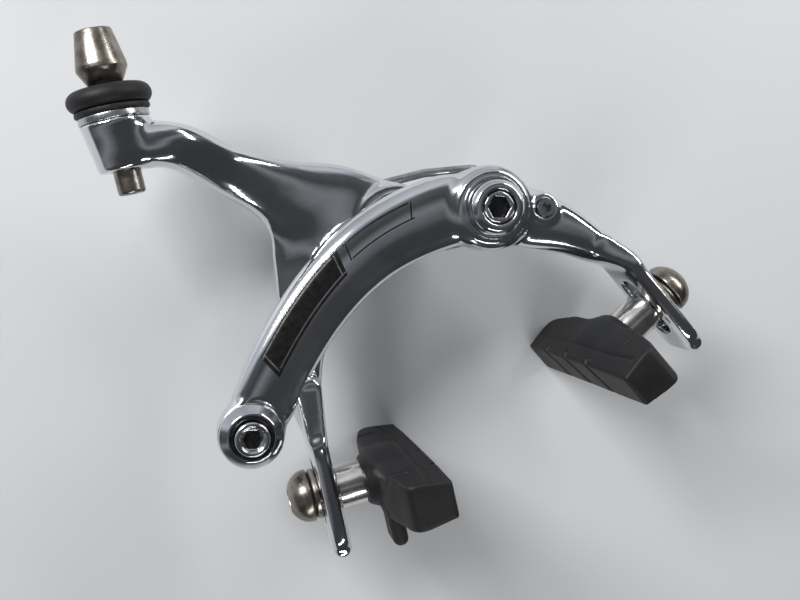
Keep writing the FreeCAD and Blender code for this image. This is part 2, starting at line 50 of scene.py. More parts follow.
# %% [markdown]
# ## Driving places
# All lengths here are millimetres in the caliper's own frame: the mounting bolt is the Y axis, the front
# faces -Y and Z points up. The depths of the two arms follow the stack of washers on the mounting bolt.

# %% Driving places
SIDE = np.array([17.0, 0.0, -4.9])                    # side pivot
CLAMP = np.array([-44.7, 0.0, -21.1])                 # cable clamp bolt
HUB_BACK, HUB_FRONT = -7.0, -15.0                     # rear arm's hub along Y
ARM_BACK, ARM_FRONT = -15.9, -22.9                    # front arm along Y
BOSS_FRONT = -23.5
BARREL_AT = np.array([-37.4, -20.4, 45.7])
BARREL_TILT = np.radians(15.3)
BARREL_DIR = np.array([np.sin(BARREL_TILT), 0.0, np.cos(BARREL_TILT)])
SHOE_PLANE = -16.4
SHOES = {"left": dict(sign=-1, face=(-18.0, -44.6), tilt=np.radians(15.0), strap=18.2),
         "right": dict(sign=1, face=(19.9, -44.6), tilt=np.radians(14.0), strap=19.6)}
STRAP_THICK, STRAP_WIDTH = 3.6, 14.0
SLOT_RUN, SLOT_RADIUS = 4.0, 3.35                     # slot: middle to an end's centre, and radius
CLAMP_SEAT = ARM_FRONT + 0.8                          # face that the clamp washer sits on
CLAMP_WASHER_HIGH, CAP_HIGH = 2.3, 0.5                # clamp washer and side cap, along Y
FAR_FRONT = -40.0                                     # ahead of everything, where open cuts end


def shoe_axes(name):
    """Centre of the braking face, with the outward and upward directions of that shoe."""
    shoe = SHOES[name]
    sign, tilt = shoe["sign"], shoe["tilt"]
    centre = np.array([shoe["face"][0], SHOE_PLANE, shoe["face"][1]])
    outward = np.array([sign * np.cos(tilt), 0, np.sin(tilt)])
    upward = np.array([-sign * np.sin(tilt), 0, np.cos(tilt)])
    return centre, outward, upward


# %% [markdown]
# ## Forgings as level sets
# A Y-shaped forging has no two-parameter grid: its limbs melt into each other. So each limb is a distance
# field, the fields are joined with a smooth minimum, and the zero surface is taken out as quads with one
# point in every cell that the surface crosses. The points are then slid onto the true zero level.

# %% Distance fields
def smooth_min(a, b, blend):
    """The lower of two fields, rounded where they are closer than blend."""
    mix = np.clip(0.5 + 0.5 * (b - a) / blend, 0.0, 1.0)
    return b * (1 - mix) + a * mix - blend * mix * (1 - mix)


def smooth_max(a, b, blend):
    """The higher of two fields, rounded in the same way; used to cut one shape from another."""
    return -smooth_min(-a, -b, blend)


def cylinder(radial, along, radius, low, high, rounding=0.3):
    """A cylinder from its two distances: radial from the axis, and along it; edges are rounded."""
    half, mid = (high - low) / 2, (high + low) / 2
    out_r, out_y = radial - radius + rounding, abs(along - mid) - half + rounding
    outside = np.hypot(np.maximum(out_r, 0), np.maximum(out_y, 0))
    return outside + np.minimum(np.maximum(out_r, out_y), 0) - rounding


def rounded_box(x, y, z, half, rounding):
    """A box centred on the origin with the given half sizes and rounded edges."""
    q = [abs(v) - h + rounding for v, h in zip((x, y, z), half)]
    outside = np.sqrt(sum(np.maximum(v, 0) ** 2 for v in q))
    return outside + np.minimum(np.maximum(np.maximum(q[0], q[1]), q[2]), 0) - rounding


def smooth_path(stations, count):
    """Catmull-Rom curve through rows of numbers: each row holds x, z, width, front and back."""
    rows = np.asarray(stations, float)
    rows = np.vstack([2 * rows[0] - rows[1], rows, 2 * rows[-1] - rows[-2]])
    t = np.linspace(0, len(rows) - 3 - 1e-6, count)
    i, f = t.astype(int), (t % 1)[:, None]
    a, b, c, d = rows[i], rows[i + 1], rows[i + 2], rows[i + 3]
    square, cube = 2 * a - 5 * b + 4 * c - d, 3 * b - 3 * c + d - a
    return 0.5 * (2 * b + (c - a) * f + square * f ** 2 + cube * f ** 3)


def limb(grid, stations, power=2.8):
    """Distance to a limb: a superellipse across the path and along Y, with rounded ends."""
    x, y, z = grid
    path = smooth_path(stations, 120)
    flat_x, flat_z = x[:, 0, :], z[:, 0, :]
    nearest = ((flat_x[..., None] - path[:, 0]) ** 2 + (flat_z[..., None] - path[:, 1]) ** 2).argmin(-1)
    step = np.gradient(path[:, :2], axis=0)
    length = np.concatenate([[0], np.cumsum(np.hypot(*np.diff(path[:, :2], axis=0).T))])
    step /= np.linalg.norm(step, axis=1)[:, None]
    tangent = step[nearest]
    along = (flat_x - path[nearest, 0]) * tangent[..., 0] + (flat_z - path[nearest, 1]) * tangent[..., 1]
    at = [np.interp(length[nearest] + along, length, column) for column in path.T]
    reach = np.hypot(flat_x - at[0], flat_z - at[1])[:, None, :]
    half_width = (at[2] / 2)[:, None, :]
    middle, half_depth = ((at[3] + at[4]) / 2)[:, None, :], ((at[4] - at[3]) / 2)[:, None, :]
    norm = ((reach / half_width) ** power + (abs(y - middle) / half_depth) ** power) ** (1 / power)
    return (norm - 1) * np.minimum(half_width, half_depth)


def make_grid(low, high, cell):
    """Three coordinate arrays of one box, cell millimetres apart."""
    axes = [np.arange(a, b + cell, cell) for a, b in zip(low, high)]
    return np.meshgrid(*axes, indexing="ij", sparse=True), [a[0] for a in axes]


# %% Surface from a field
def surface(field, origin, cell):
    """Points and quads of a field's zero level: one point per crossed cell, one quad per crossed edge."""
    inside = field < 0
    corners = sum(inside[i:i - 1 or None, j:j - 1 or None, k:k - 1 or None].astype(np.int8)
                  for i in (0, 1) for j in (0, 1) for k in (0, 1))
    crossed = (corners > 0) & (corners < 8)
    number = np.full(crossed.shape, -1, np.int64)
    number[crossed] = np.arange(crossed.sum())
    base = np.argwhere(crossed)
    total, weight = np.zeros((len(base), 3)), np.zeros(len(base))
    quads = []
    for axis in range(3):
        side_a, side_b = [k for k in range(3) if k != axis]
        for u in (0, 1):
            for v in (0, 1):
                start = base.copy()
                start[:, side_a] += u
                start[:, side_b] += v
                end = start.copy()
                end[:, axis] += 1
                f0, f1 = field[tuple(start.T)], field[tuple(end.T)]
                hit = (f0 < 0) != (f1 < 0)
                point = start.astype(float)
                point[:, axis] += np.where(hit, f0 / np.where(hit, f0 - f1, 1), 0)
                total += point * hit[:, None]
                weight += hit
        low, high = [slice(None)] * 3, [slice(None)] * 3
        low[axis], high[axis] = slice(0, -1), slice(1, None)
        change = inside[tuple(low)].astype(np.int8) - inside[tuple(high)]
        where = np.argwhere(change != 0)
        where = where[(where[:, side_a] > 0) & (where[:, side_b] > 0)]
        keep = (where[:, side_a] < field.shape[side_a] - 1) & (where[:, side_b] < field.shape[side_b] - 1)
        where = where[keep]
        ring = []
        for u, v in ((-1, -1), (0, -1), (0, 0), (-1, 0)):
            cell_at = where.copy()
            cell_at[:, side_a] += u
            cell_at[:, side_b] += v
            ring.append(number[tuple(cell_at.T)])
        ring = np.stack(ring, 1)
        outward = (change[tuple(where.T)] > 0) ^ (axis == 1)
        quads.append(np.where(outward[:, None], ring, ring[:, ::-1]))
    points = total / weight[:, None]
    points = slide_to_level(points, field)
    return points * cell + np.asarray(origin), np.vstack(quads)


def slide_to_level(points, field, rounds=4):
    """Newton steps along the field's slope, read between grid points, until each point lies on zero."""
    limit = np.array(field.shape) - 2.001

    def value(p):
        p = np.clip(p, 0, limit)
        i = p.astype(int)
        f = p - i
        out = 0
        for a in (0, 1):
            for b in (0, 1):
                for c in (0, 1):
                    w = (f[:, 0] if a else 1 - f[:, 0]) * (f[:, 1] if b else 1 - f[:, 1])
                    w = w * (f[:, 2] if c else 1 - f[:, 2])
                    out = out + w * field[i[:, 0] + a, i[:, 1] + b, i[:, 2] + c]
        return out

    start = points.copy()
    for _ in range(rounds):
        slope = np.stack([value(points + e) - value(points - e) for e in np.eye(3) * 0.5], 1)
        steep = np.maximum((slope ** 2).sum(1), 1e-6)
        points = points - slope * (value(points) / steep)[:, None]
    return np.where(abs(points - start).max(1, keepdims=True) < 1.5, points, start)


# %% Mesh from arrays
def mesh_piece(name, points_mm, quads, body, material, stands_for=()):
    """Put points and quads in a mesh in metres, smooth-shaded, riding on one body."""
    mesh = bpy.data.meshes.new(name)
    mesh.vertices.add(len(points_mm))
    mesh.vertices.foreach_set("co", (np.asarray(points_mm) * MM).astype(np.float32).ravel())
    quads = np.asarray(quads, np.int32)
    mesh.loops.add(quads.size)
    mesh.loops.foreach_set("vertex_index", quads.ravel())
    mesh.polygons.add(len(quads))
    mesh.polygons.foreach_set("loop_start", np.arange(0, quads.size, quads.shape[1], dtype=np.int32))
    mesh.polygons.foreach_set("use_smooth", np.ones(len(quads), bool))
    mesh.update(calc_edges=True)
    shell = bmesh.new()
    shell.from_mesh(mesh)
    bmesh.ops.remove_doubles(shell, verts=shell.verts, dist=1e-7)
    shell.to_mesh(mesh)
    shell.free()
    piece = bpy.data.objects.new(name, mesh)
    bpy.context.scene.collection.objects.link(piece)
    piece.data.materials.append(material)
    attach(piece, body)
    if stands_for:
        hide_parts(*stands_for)
    print(name, len(points_mm), "points", len(quads), "faces")
    return piece


# %% [markdown]
# ## Shader maths as expressions
# A small class wraps a node socket so that sums and products of textures read like arithmetic.

# %% Shader maths
class Sock:
    """A float socket that can be added to and multiplied; each operation adds one Math node."""

    def __init__(self, tree, socket):
        self.tree, self.socket = tree, socket

    def math(self, operation, other):
        node = self.tree.nodes.new("ShaderNodeMath")
        node.operation = operation
        for slot, value in zip(node.inputs, (self, other)):
            if isinstance(value, Sock):
                self.tree.links.new(value.socket, slot)
            else:
                slot.default_value = value
        return Sock(self.tree, node.outputs[0])

    def __add__(self, other):
        return self.math("ADD", other)

    def __mul__(self, other):
        return self.math("MULTIPLY", other)


def fill_ramp(node, stops):
    """Give a colour ramp its stops, each a position and a colour, and return its colour output."""
    points = node.color_ramp.elements
    while len(points) < len(stops):
        points.new(0.5)
    for point, (position, colour) in zip(points, stops):
        point.position = position
        point.color = (*colour, 1.0)
    return node.outputs[0]


class Finish:
    """One material: node() adds any node, and the principled shader's sockets are set by name."""

    def __init__(self, name):
        self.material = bpy.data.materials.new(name)
        self.material.use_nodes = True
        self.tree = self.material.node_tree
        self.shader = self.tree.nodes["Principled BSDF"]
        self.place = self.node("ShaderNodeTexCoord").outputs["Object"]

    def node(self, kind, settings=None, **sockets):
        """A node of one kind; settings first, then values or links for its sockets."""
        node = self.tree.nodes.new(kind)
        for key, value in (settings or {}).items():
            setattr(node, key, value)
        for key, value in sockets.items():
            self.feed(node.inputs[key.replace("_", " ")], value)
        return node

    def feed(self, socket, value):
        """Link a socket to an output, or set its value."""
        if isinstance(value, Sock):
            value = value.socket
        if isinstance(value, bpy.types.NodeSocket):
            self.tree.links.new(value, socket)
        else:
            socket.default_value = value

    def noise(self, scale, detail=3.0, stretch=None):
        """Noise read at a scale per metre, drawn out along an axis where stretch is given."""
        where = self.place
        if stretch:
            where = self.node("ShaderNodeMapping", Vector=where, Scale=stretch).outputs[0]
        noise = self.node("ShaderNodeTexNoise", Vector=where, Scale=scale, Detail=detail)
        return Sock(self.tree, noise.outputs["Fac"])

    def ramp(self, factor, *stops):
        """Colours by position, mixed in between."""
        return fill_ramp(self.node("ShaderNodeValToRGB", Fac=factor), stops)

    def bump(self, height, strength, distance):
        return self.node("ShaderNodeBump", Height=height, Strength=strength, Distance=distance).outputs[0]

    def set(self, **sockets):
        for key, value in sockets.items():
            self.feed(self.shader.inputs[key.replace("_", " ")], value)
        return self.material


# %% [markdown]
# ## Finishes
# The arms are polished aluminium: a mirror with faint buffing lines, small dull patches and a few
# scratches. Chrome is cleaner and bluer; the barrel and dome nuts are worn, browned nickel plate.

# %% Metal finishes
def polished_aluminium():
    """Mirror metal; buffing lines run across Y, and hazy patches are a little rougher."""
    f = Finish("polished aluminium")
    haze = f.noise(90.0, 4.0)
    lines = f.noise(900.0, 2.0, (0.15, 1.0, 1.0))
    scratch = f.noise(2600.0, 1.0, (0.04, 1.0, 0.35))
    rough = haze * 0.10 + lines * 0.05 + 0.035
    colour = f.ramp(haze, (0.3, (0.66, 0.68, 0.71)), (0.7, (0.80, 0.81, 0.83)))
    return f.set(Base_Color=colour, Metallic=1.0, Roughness=rough,
                 Normal=f.bump(lines * 0.6 + scratch * 0.4, 0.12, 0.00008))


def chromed_steel():
    """Bright chrome with fine wear."""
    f = Finish("chromed steel")
    wear = f.noise(260.0, 5.0)
    colour = f.ramp(wear, (0.35, (0.58, 0.60, 0.64)), (0.65, (0.76, 0.77, 0.79)))
    return f.set(Base_Color=colour, Metallic=1.0, Roughness=wear * 0.16 + 0.04,
                 Normal=f.bump(f.noise(1500.0, 2.0), 0.10, 0.00006))


def nickel_plate():
    """Worn nickel over brass: warm brown-grey with darker stains and small pits."""
    f = Finish("worn nickel plate")
    stain = f.noise(240.0, 5.0)
    pits = f.noise(1500.0, 3.0)
    colour = f.ramp(stain, (0.30, (0.12, 0.105, 0.088)), (0.52, (0.30, 0.27, 0.235)),
                    (0.75, (0.50, 0.47, 0.43)))
    return f.set(Base_Color=colour, Metallic=1.0, Roughness=pits * 0.22 + stain * 0.1 + 0.14,
                 Normal=f.bump(pits, 0.25, 0.0001))


def plain_metal(name, dark, light, rough):
    """A turned or pressed metal: two tones of grey and fine machining marks."""
    f = Finish(name)
    tone = f.noise(320.0, 4.0)
    marks = f.noise(2200.0, 2.0, (1.0, 0.2, 1.0))
    return f.set(Base_Color=f.ramp(tone, (0.3, dark), (0.7, light)), Metallic=1.0,
                 Roughness=marks * 0.15 + rough, Normal=f.bump(marks, 0.15, 0.00008))


# %% Rubber and plastic finishes
def moulded_rubber():
    """Matt black rubber with a grey bloom and a fine moulded grain."""
    f = Finish("moulded rubber")
    bloom = f.noise(130.0, 4.0)
    grain = f.noise(2400.0, 3.0)
    colour = f.ramp(bloom, (0.3, (0.0035, 0.0035, 0.004)), (0.75, (0.011, 0.011, 0.012)))
    return f.set(Base_Color=colour, Roughness=bloom * 0.25 + grain * 0.1 + 0.38,
                 Normal=f.bump(grain, 0.35, 0.00012), Specular_IOR_Level=0.42)


def black_enamel_and_painted_shade():
    """Glossy black fill of the plain inlay; the same black is also painted shade in the recesses of the
    bolt heads.
    """
    f = Finish("black enamel and painted shade")
    dust = f.noise(700.0, 4.0)
    return f.set(Base_Color=f.ramp(dust, (0.3, (0.003, 0.003, 0.003)), (0.8, (0.012, 0.012, 0.013))),
                 Roughness=dust * 0.2 + 0.16, Normal=f.bump(dust, 0.1, 0.00005))


FINISH = {
    "polished_aluminium": polished_aluminium(),
    "satin_aluminium": plain_metal("satin aluminium", (0.42, 0.43, 0.45), (0.60, 0.61, 0.63), 0.20),
    "chromed_steel": chromed_steel(),
    "nickel_plated_steel": nickel_plate(),
    "plain_steel": plain_metal("plain steel", (0.28, 0.28, 0.30), (0.48, 0.48, 0.50), 0.24),
    "bronze_bearing": plain_metal("bronze bearing", (0.42, 0.28, 0.13), (0.60, 0.43, 0.22), 0.30),
    "black_rubber": moulded_rubber(),
    "black_plastic": moulded_rubber(),
}
SPACER_STEEL = plain_metal("bright spacer steel", (0.60, 0.58, 0.54), (0.80, 0.79, 0.76), 0.12)
ENAMEL_AND_PAINTED_SHADE = black_enamel_and_painted_shade()
for part in frame["record"]["subparts"]:
    node = frame["nodes"][part["node"]]
    node.data.materials.clear()
    node.data.materials.append(FINISH[part["material_slot"]])

# %% [markdown]
# ## The two arms
# Both arms are drop forgings that were tumbled and polished, so every edge is soft and the limbs flow
# together. The stations give the middle of each limb, its width, and its front and back along Y.


# %% Straps
# Each row: place up the strap, what its front and back edges lose, and its thickness as a multiple.
STRAP_ROWS = ((12.0, 0.0, 1.15), (8.0, 0.0, 1.0), (0.0, 0.0, 1.0), (-8.0, 0.2, 1.0), (-10.9, 1.4, 1.05))


def strap_stations(name):
    """The strap that holds a shoe: narrow across, wide along Y, with a rounded tip."""
    centre, outward, upward = shoe_axes(name)
    middle = SHOES[name]["strap"] + STRAP_THICK / 2
    front, back = SHOE_PLANE - STRAP_WIDTH / 2, SHOE_PLANE + STRAP_WIDTH / 2
    rows = []
    for up, trim, thick in STRAP_ROWS:
        at = centre + outward * middle + upward * up
        rows.append((at[0], at[2], STRAP_THICK * thick, front + trim, back - trim))
    return rows


def strap_slot(grid, name):
    """The slot that the shoe's post slides in, as a field that is negative inside it."""
    x, y, z = grid
    centre, outward, upward = shoe_axes(name)
    out = (x - centre[0]) * outward[0] + (z - centre[2]) * outward[2]
    up = (x - centre[0]) * upward[0] + (z - centre[2]) * upward[2]
    ring = np.hypot(np.maximum(abs(up) - SLOT_RUN, 0), y - SHOE_PLANE) - SLOT_RADIUS
    middle = SHOES[name]["strap"] + STRAP_THICK / 2
    return np.maximum(ring, abs(out - middle) - 5.0)


# %% Rear arm
CELL = 0.4
tail, lead = HUB_BACK - 0.35, HUB_FRONT + 0.35
block_top = BARREL_AT - BARREL_DIR * 4.2
block_mid = block_top - BARREL_DIR * 4.5
upper_limb = [(1.0, 0.8, 13.0, lead, tail), (-7.6, 8.6, 15.0, lead, tail),
              (-16.0, 15.8, 12.4, lead - 0.6, tail - 0.6), (-23.8, 24.0, 9.6, lead - 3.2, tail - 2.4),
              (-31.0, 32.8, 8.6, block_mid[1] - 4.6, block_mid[1] + 4.8),
              (block_mid[0], block_mid[2], 8.0, block_mid[1] - 4.4, block_mid[1] + 4.4)]
lower_limb = [(-1.0, -0.6, 12.0, lead + 0.5, tail - 0.5), (-11.0, -1.6, 13.0, lead + 0.5, tail - 0.5),
              (-20.5, -5.4, 11.0, lead + 0.5, tail - 0.5), (-28.0, -13.5, 8.4, lead + 0.5, tail - 0.5),
              (-32.6, -22.5, 6.4, lead - 0.9, tail - 1.0)] + strap_stations("left")
web_limb = [(-8.0, 2.0, 12.0, lead + 1.6, tail - 1.2), (-15.0, 8.0, 13.0, lead + 1.6, tail - 1.2),
            (-20.0, 5.0, 9.0, lead + 1.6, tail - 1.2), (-22.5, -2.0, 9.0, lead + 1.6, tail - 1.2)]


def barrel_distances(grid):
    """Distance from the cable adjuster's axis and height along it."""
    x, y, z = grid
    height = (x - BARREL_AT[0]) * BARREL_DIR[0] + (z - BARREL_AT[2]) * BARREL_DIR[2]
    aside = (x - BARREL_AT[0]) * BARREL_DIR[2] - (z - BARREL_AT[2]) * BARREL_DIR[0]
    return np.hypot(aside, y - BARREL_AT[1]), height


def rear_arm_field(grid):
    """The rear arm: its limbs, web, hub and adjuster block, less the bores and the strap's slot."""
    x, y, z = grid
    body = smooth_min(limb(grid, upper_limb), limb(grid, lower_limb), 3.0)
    strap = [(-31.0, -19.0, 5.2, -21.5, -9.5)] + strap_stations("left")
    body = smooth_min(body, limb(grid, strap, 6.0), 0.3)
    body = smooth_min(body, limb(grid, web_limb), 3.5)
    body = smooth_min(body, cylinder(np.hypot(x, z), y, 8.3, HUB_FRONT, HUB_BACK, 0.6), 1.2)
    radial, height = barrel_distances(grid)
    taper = 6.4 + (height + 4.2) * (1.6 / 9.0)
    body = smooth_min(body, cylinder(radial - taper + 6.4, height, 6.4, -13.2, -4.2, 0.5), 1.4)
    body = smooth_max(body, -(radial - 2.6), 0.3)
    body = smooth_max(body, -cylinder(np.hypot(x, z), y, 4.65, FAR_FRONT, 0), 0.2)
    body = smooth_max(body, -cylinder(np.hypot(x, z), y, 6.3, FAR_FRONT, HUB_FRONT + 2.2), 0.3)
    body = smooth_max(body, -strap_slot(grid, "left"), 0.5)
    roller = SIDE * 0.565                             # equaliser, on the line between the two pivots
    body = smooth_max(body, -cylinder(np.hypot(x - roller[0], z - roller[2]), y, 2.1, FAR_FRONT, 0), 0.2)
    body = smooth_max(body, -cylinder(np.hypot(x - SIDE[0], z - SIDE[2]), y, 6.8, FAR_FRONT, 0), 0.2)
    return np.maximum(body, y - HUB_BACK)


grid, origin = make_grid((-54, -28, -60), (12, -5, 52), CELL)
points, quads = surface(rear_arm_field(grid), origin, CELL)
mesh_piece("rear_arm_forging", points, quads, "rear_arm",
           FINISH["polished_aluminium"], ("rear_arm",))

# %% Front arm
arch_limb = [(16.0, -4.5, 13.4, ARM_FRONT + 0.4, ARM_BACK - 0.2),
             (8.0, -1.3, 14.4, ARM_FRONT + 0.1, ARM_BACK - 0.2),
             (-3.0, -0.4, 14.0, ARM_FRONT, ARM_BACK - 0.2), (-13.0, -2.0, 13.4, ARM_FRONT, ARM_BACK - 0.2),
             (-23.0, -6.0, 12.8, ARM_FRONT, ARM_BACK - 0.2),
             (-32.8, -11.9, 12.4, ARM_FRONT + 0.2, ARM_BACK - 0.2),
             (-39.7, -17.2, 12.2, ARM_FRONT + 0.5, ARM_BACK - 0.2),
             (-43.1, -19.9, 11.0, ARM_FRONT + 1.0, ARM_BACK - 0.3)]
right_limb = [(18.0, -5.9, 11.0, ARM_FRONT + 1.2, ARM_BACK - 0.8),
              (23.8, -10.8, 11.8, ARM_FRONT + 0.9, ARM_BACK + 0.6),
              (29.6, -16.6, 9.4, ARM_FRONT + 0.5, ARM_BACK + 2.6),
              (34.2, -22.8, 6.6, ARM_FRONT + 0.2, ARM_BACK + 5.2)] + strap_stations("right")
SCREW_AT = SIDE + np.array([9.6, 0.0, -5.0])


def front_arm_field(grid):
    """The front arm: its limbs and bosses, less the bores and the strap's slot."""
    x, y, z = grid
    from_side = np.hypot(x - SIDE[0], z - SIDE[2])
    from_clamp = np.hypot(x - CLAMP[0], z - CLAMP[2])
    body = smooth_min(limb(grid, arch_limb, 2.5), limb(grid, right_limb), 2.4)
    strap = [(34.2, -22.6, 5.6, -22.6, -11.0)] + strap_stations("right")
    body = smooth_min(body, limb(grid, strap, 6.0), 0.3)
    body = smooth_min(body, cylinder(from_side, y, 8.2, ARM_FRONT, ARM_BACK, 1.0), 1.6)
    body = smooth_min(body, cylinder(from_side, y, 7.2, BOSS_FRONT, ARM_FRONT + 2, 0.35), 0.6)
    body = smooth_min(body, cylinder(from_side, y, 6.0, ARM_BACK - 1, HUB_BACK, 0.2), 0.4)
    body = smooth_min(body, cylinder(from_clamp, y, 6.4, CLAMP_SEAT, ARM_BACK, 0.6), 1.2)
    body = smooth_max(body, -cylinder(from_clamp, y, 6.8, FAR_FRONT, CLAMP_SEAT, 0.2), 0.3)
    body = smooth_max(body, -(from_side - 4.1), 0.2)
    body = smooth_max(body, -(from_clamp - 2.7), 0.2)
    from_screw = np.hypot(x - SCREW_AT[0], z - SCREW_AT[2])
    body = smooth_min(body, cylinder(from_screw, y, 2.9, ARM_FRONT + 0.7, ARM_BACK, 0.4), 1.2)
    body = smooth_max(body, -(from_screw - 1.85), 0.2)
    return smooth_max(body, -strap_slot(grid, "right"), 0.5)


grid, origin = make_grid((-54, -27, -60), (52, -5, 8), CELL)
points, quads = surface(front_arm_field(grid), origin, CELL)
mesh_piece("front_arm_forging", points, quads, "front_arm",
           FINISH["polished_aluminium"], ("front_arm",))

# %% [markdown]
# ## Turned parts and bolt heads
# A lathe makes these, so each is a profile of (radius, height) corners carried round an axis. All corners
# but the first and last are given a small arc, because it is the rounded edges that catch the light. Heads
# with a hexagon socket are distance fields instead.

# %% Local frames
def facing(origin, forward, side):
    """A right-handed frame at a point: its third axis is forward, its first is side."""
    forward, side = np.asarray(forward, float), np.asarray(side, float)
    return np.asarray(origin, float), np.stack([side, np.cross(forward, side), forward])


def placed(points, place):
    """Points of a local frame, in the caliper's frame."""
    origin, rows = place
    return origin + points @ rows


def front_frame(centre, y):
    """A frame on a pivot's axis at depth y, facing the front."""
    return facing((centre[0], y, centre[2]), (0, -1, 0), (1, 0, 0))


def shoe_frame(name, out):
    """A frame on a shoe's post, out millimetres from the braking face, pointing outwards."""
    centre, outward, upward = shoe_axes(name)
    return facing(centre + outward * out, outward, upward)


BARREL_FRAME = facing(BARREL_AT, BARREL_DIR, (BARREL_DIR[2], 0, -BARREL_DIR[0]))


def rounded_profile(corners, radius, steps=5):
    """Each inner corner becomes a short arc (a quadratic curve) that starts and ends radius away."""
    corners = np.asarray(corners, float)
    rows = [corners[:1]]
    t = np.linspace(0, 1, steps)[:, None]
    for before, corner, after in zip(corners, corners[1:], corners[2:]):
        back, on = before - corner, after - corner
        cut = min(radius, 0.45 * np.hypot(*back), 0.45 * np.hypot(*on))
        first, last = corner + back / np.hypot(*back) * cut, corner + on / np.hypot(*on) * cut
        rows.append((1 - t) ** 2 * first + 2 * t * (1 - t) * corner + t ** 2 * last)
    return np.vstack(rows + [corners[-1:]])


TURNS, RIPPLES = 96, 24                               # steps round the axis, and waves of a knurl


def turned(name, corners, place, body, material, stands_for, radius=0.25, closed=False, knurl=0.0):
    """A profile carried round the local third axis; knurl ripples the radius."""
    profile = rounded_profile(corners, radius)
    angle = np.arange(TURNS) * 2 * np.pi / TURNS
    r, h = profile[:, :1], profile[:, 1:]
    ripple = r * (1 + knurl * np.cos(angle * RIPPLES))
    points = np.stack([ripple * np.cos(angle), ripple * np.sin(angle), h + 0 * angle], -1)
    rows = len(profile)
    i, j = np.meshgrid(np.arange(rows if closed else rows - 1), np.arange(TURNS), indexing="ij")
    i2, j2 = (i + 1) % rows, (j + 1) % TURNS
    quads = np.stack([i * TURNS + j, i * TURNS + j2, i2 * TURNS + j2, i2 * TURNS + j], -1).reshape(-1, 4)
    return mesh_piece(name, placed(points.reshape(-1, 3), place), quads, body, material, stands_for)


# %% Cable adjuster
turned("adjuster_barrel_turned",
       [(0.9, -17.6), (2.2, -17.6), (2.5, -17.2), (2.5, 2.3), (3.0, 2.3), (4.6, 5.2),
        (4.6, 5.9), (3.3, 12.2), (2.3, 12.2), (2.1, 6.2), (0.9, 6.2)],
       BARREL_FRAME, "adjuster_barrel", FINISH["nickel_plated_steel"],
       ("adjuster_barrel",), 0.22, closed=True)
RING_MIDDLE, RING_SECTION = 5.8, 1.88                 # radii of the rubber ring and of its round section
circle = np.linspace(0, 2 * np.pi, 41)[:-1]
ring = np.stack([RING_MIDDLE + RING_SECTION * np.cos(circle), RING_SECTION * np.sin(circle)], -1)
turned("rubber_ring", ring, BARREL_FRAME, "adjuster_wheel", FINISH["black_rubber"],
       ("thumbwheel_rubber_ring",), 0.05, closed=True)
turned("thumbwheel_core",
       [(2.55, -2.9), (6.4, -2.9), (6.8, -2.6), (6.8, -1.9), (3.9, -1.6), (3.9, 1.7), (2.55, 1.7)],
       BARREL_FRAME, "adjuster_wheel", FINISH["black_plastic"], ("adjuster_thumbwheel",),
       0.15, closed=True, knurl=0.006)
turned("thumbwheel_washer", [(2.6, -4.2), (6.4, -4.2), (6.4, -2.9), (2.6, -2.9)], BARREL_FRAME, "rear_arm",
       FINISH["satin_aluminium"], ("adjuster_washer",), 0.3, closed=True)

# %% Clamp washer and side cap
turned("clamp_washer_cone",
       [(2.6, 0.0), (6.2, 0.0), (6.2, 0.9), (4.6, CLAMP_WASHER_HIGH), (4.2, CLAMP_WASHER_HIGH),
        (4.0, 1.9), (2.6, 1.9)],
       front_frame(CLAMP, CLAMP_SEAT), "front_arm", FINISH["chromed_steel"],
       ("cable_clamp_washer",), 0.3, closed=True)
turned("side_cap_ring", [(3.1, 0.0), (6.2, 0.0), (6.2, CAP_HIGH), (3.1, CAP_HIGH)],
       front_frame(SIDE, BOSS_FRONT), "bridge", FINISH["chromed_steel"],
       ("side_cap_washer",), 0.15, closed=True)


# %% Heads with hexagon sockets
SIN_60, SIN_45 = 0.8660, 0.7071


def hexagon(u, v, across):
    """Distance to a hexagonal bar of half width across."""
    return np.maximum(abs(u), abs(u) * 0.5 + abs(v) * SIN_60) - across


def socket_head(name, profile_field, reach, low, high, place, body, material, stands_for, cell=0.16):
    """A head cut from its distance field in a local grid, then put in place."""
    local, start = make_grid((-reach, -reach, low), (reach, reach, high), cell)
    points, quads = surface(profile_field(*local), start, cell)
    return mesh_piece(name, placed(points, place), quads, body, material, stands_for)


def side_bolt_field(u, v, w):
    """Flanged head with a chamfered rim, a raised inner ring and a 4 mm hexagon socket."""
    r = np.hypot(u, v)
    head = cylinder(r, w, 5.3, 0.0, 3.3, 0.3)
    head = smooth_max(head, (r + (w - 3.3) - 4.5) * SIN_45, 0.25)
    head = smooth_max(head, -cylinder(r, w, 3.4, 2.75, 9.0, 0.2), 0.15)
    head = smooth_min(head, cylinder(r, w, 2.95, 0.5, 3.05, 0.15), 0.1)
    shank = cylinder(r, w, 3.0, -21.0, 0.4, 0.2)
    return smooth_max(smooth_min(head, shank, 0.2), -np.maximum(hexagon(u, v, 2.0), 0.5 - w), 0.12)


def clamp_bolt_field(u, v, w):
    """Low round head, dished, with a 3.5 mm hexagon socket."""
    r = np.hypot(u, v)
    head = cylinder(r, w, 3.3, 0.0, 1.7, 0.35)
    head = smooth_max(head, -cylinder(r, w, 2.4, 1.35, 9.0, 0.2), 0.25)
    shank = cylinder(r, w, 2.5, -11.9, 0.3, 0.2)
    return smooth_max(smooth_min(head, shank, 0.2), -np.maximum(hexagon(u, v, 1.7), -0.4 - w), 0.12)


def dome_field(u, v, w):
    """Dome nut: a flattened half ball on a short collar, with a 4 mm hexagon socket in its crown."""
    r = np.hypot(u, v)
    ball = (np.sqrt((r / 5.2) ** 2 + (np.maximum(w - 0.6, 0) / 4.2) ** 2) - 1) * 4.2
    dome = smooth_max(ball, -w, 0.3)
    return smooth_max(dome, -np.maximum(hexagon(u, v, 2.0), 2.6 - w), 0.25)


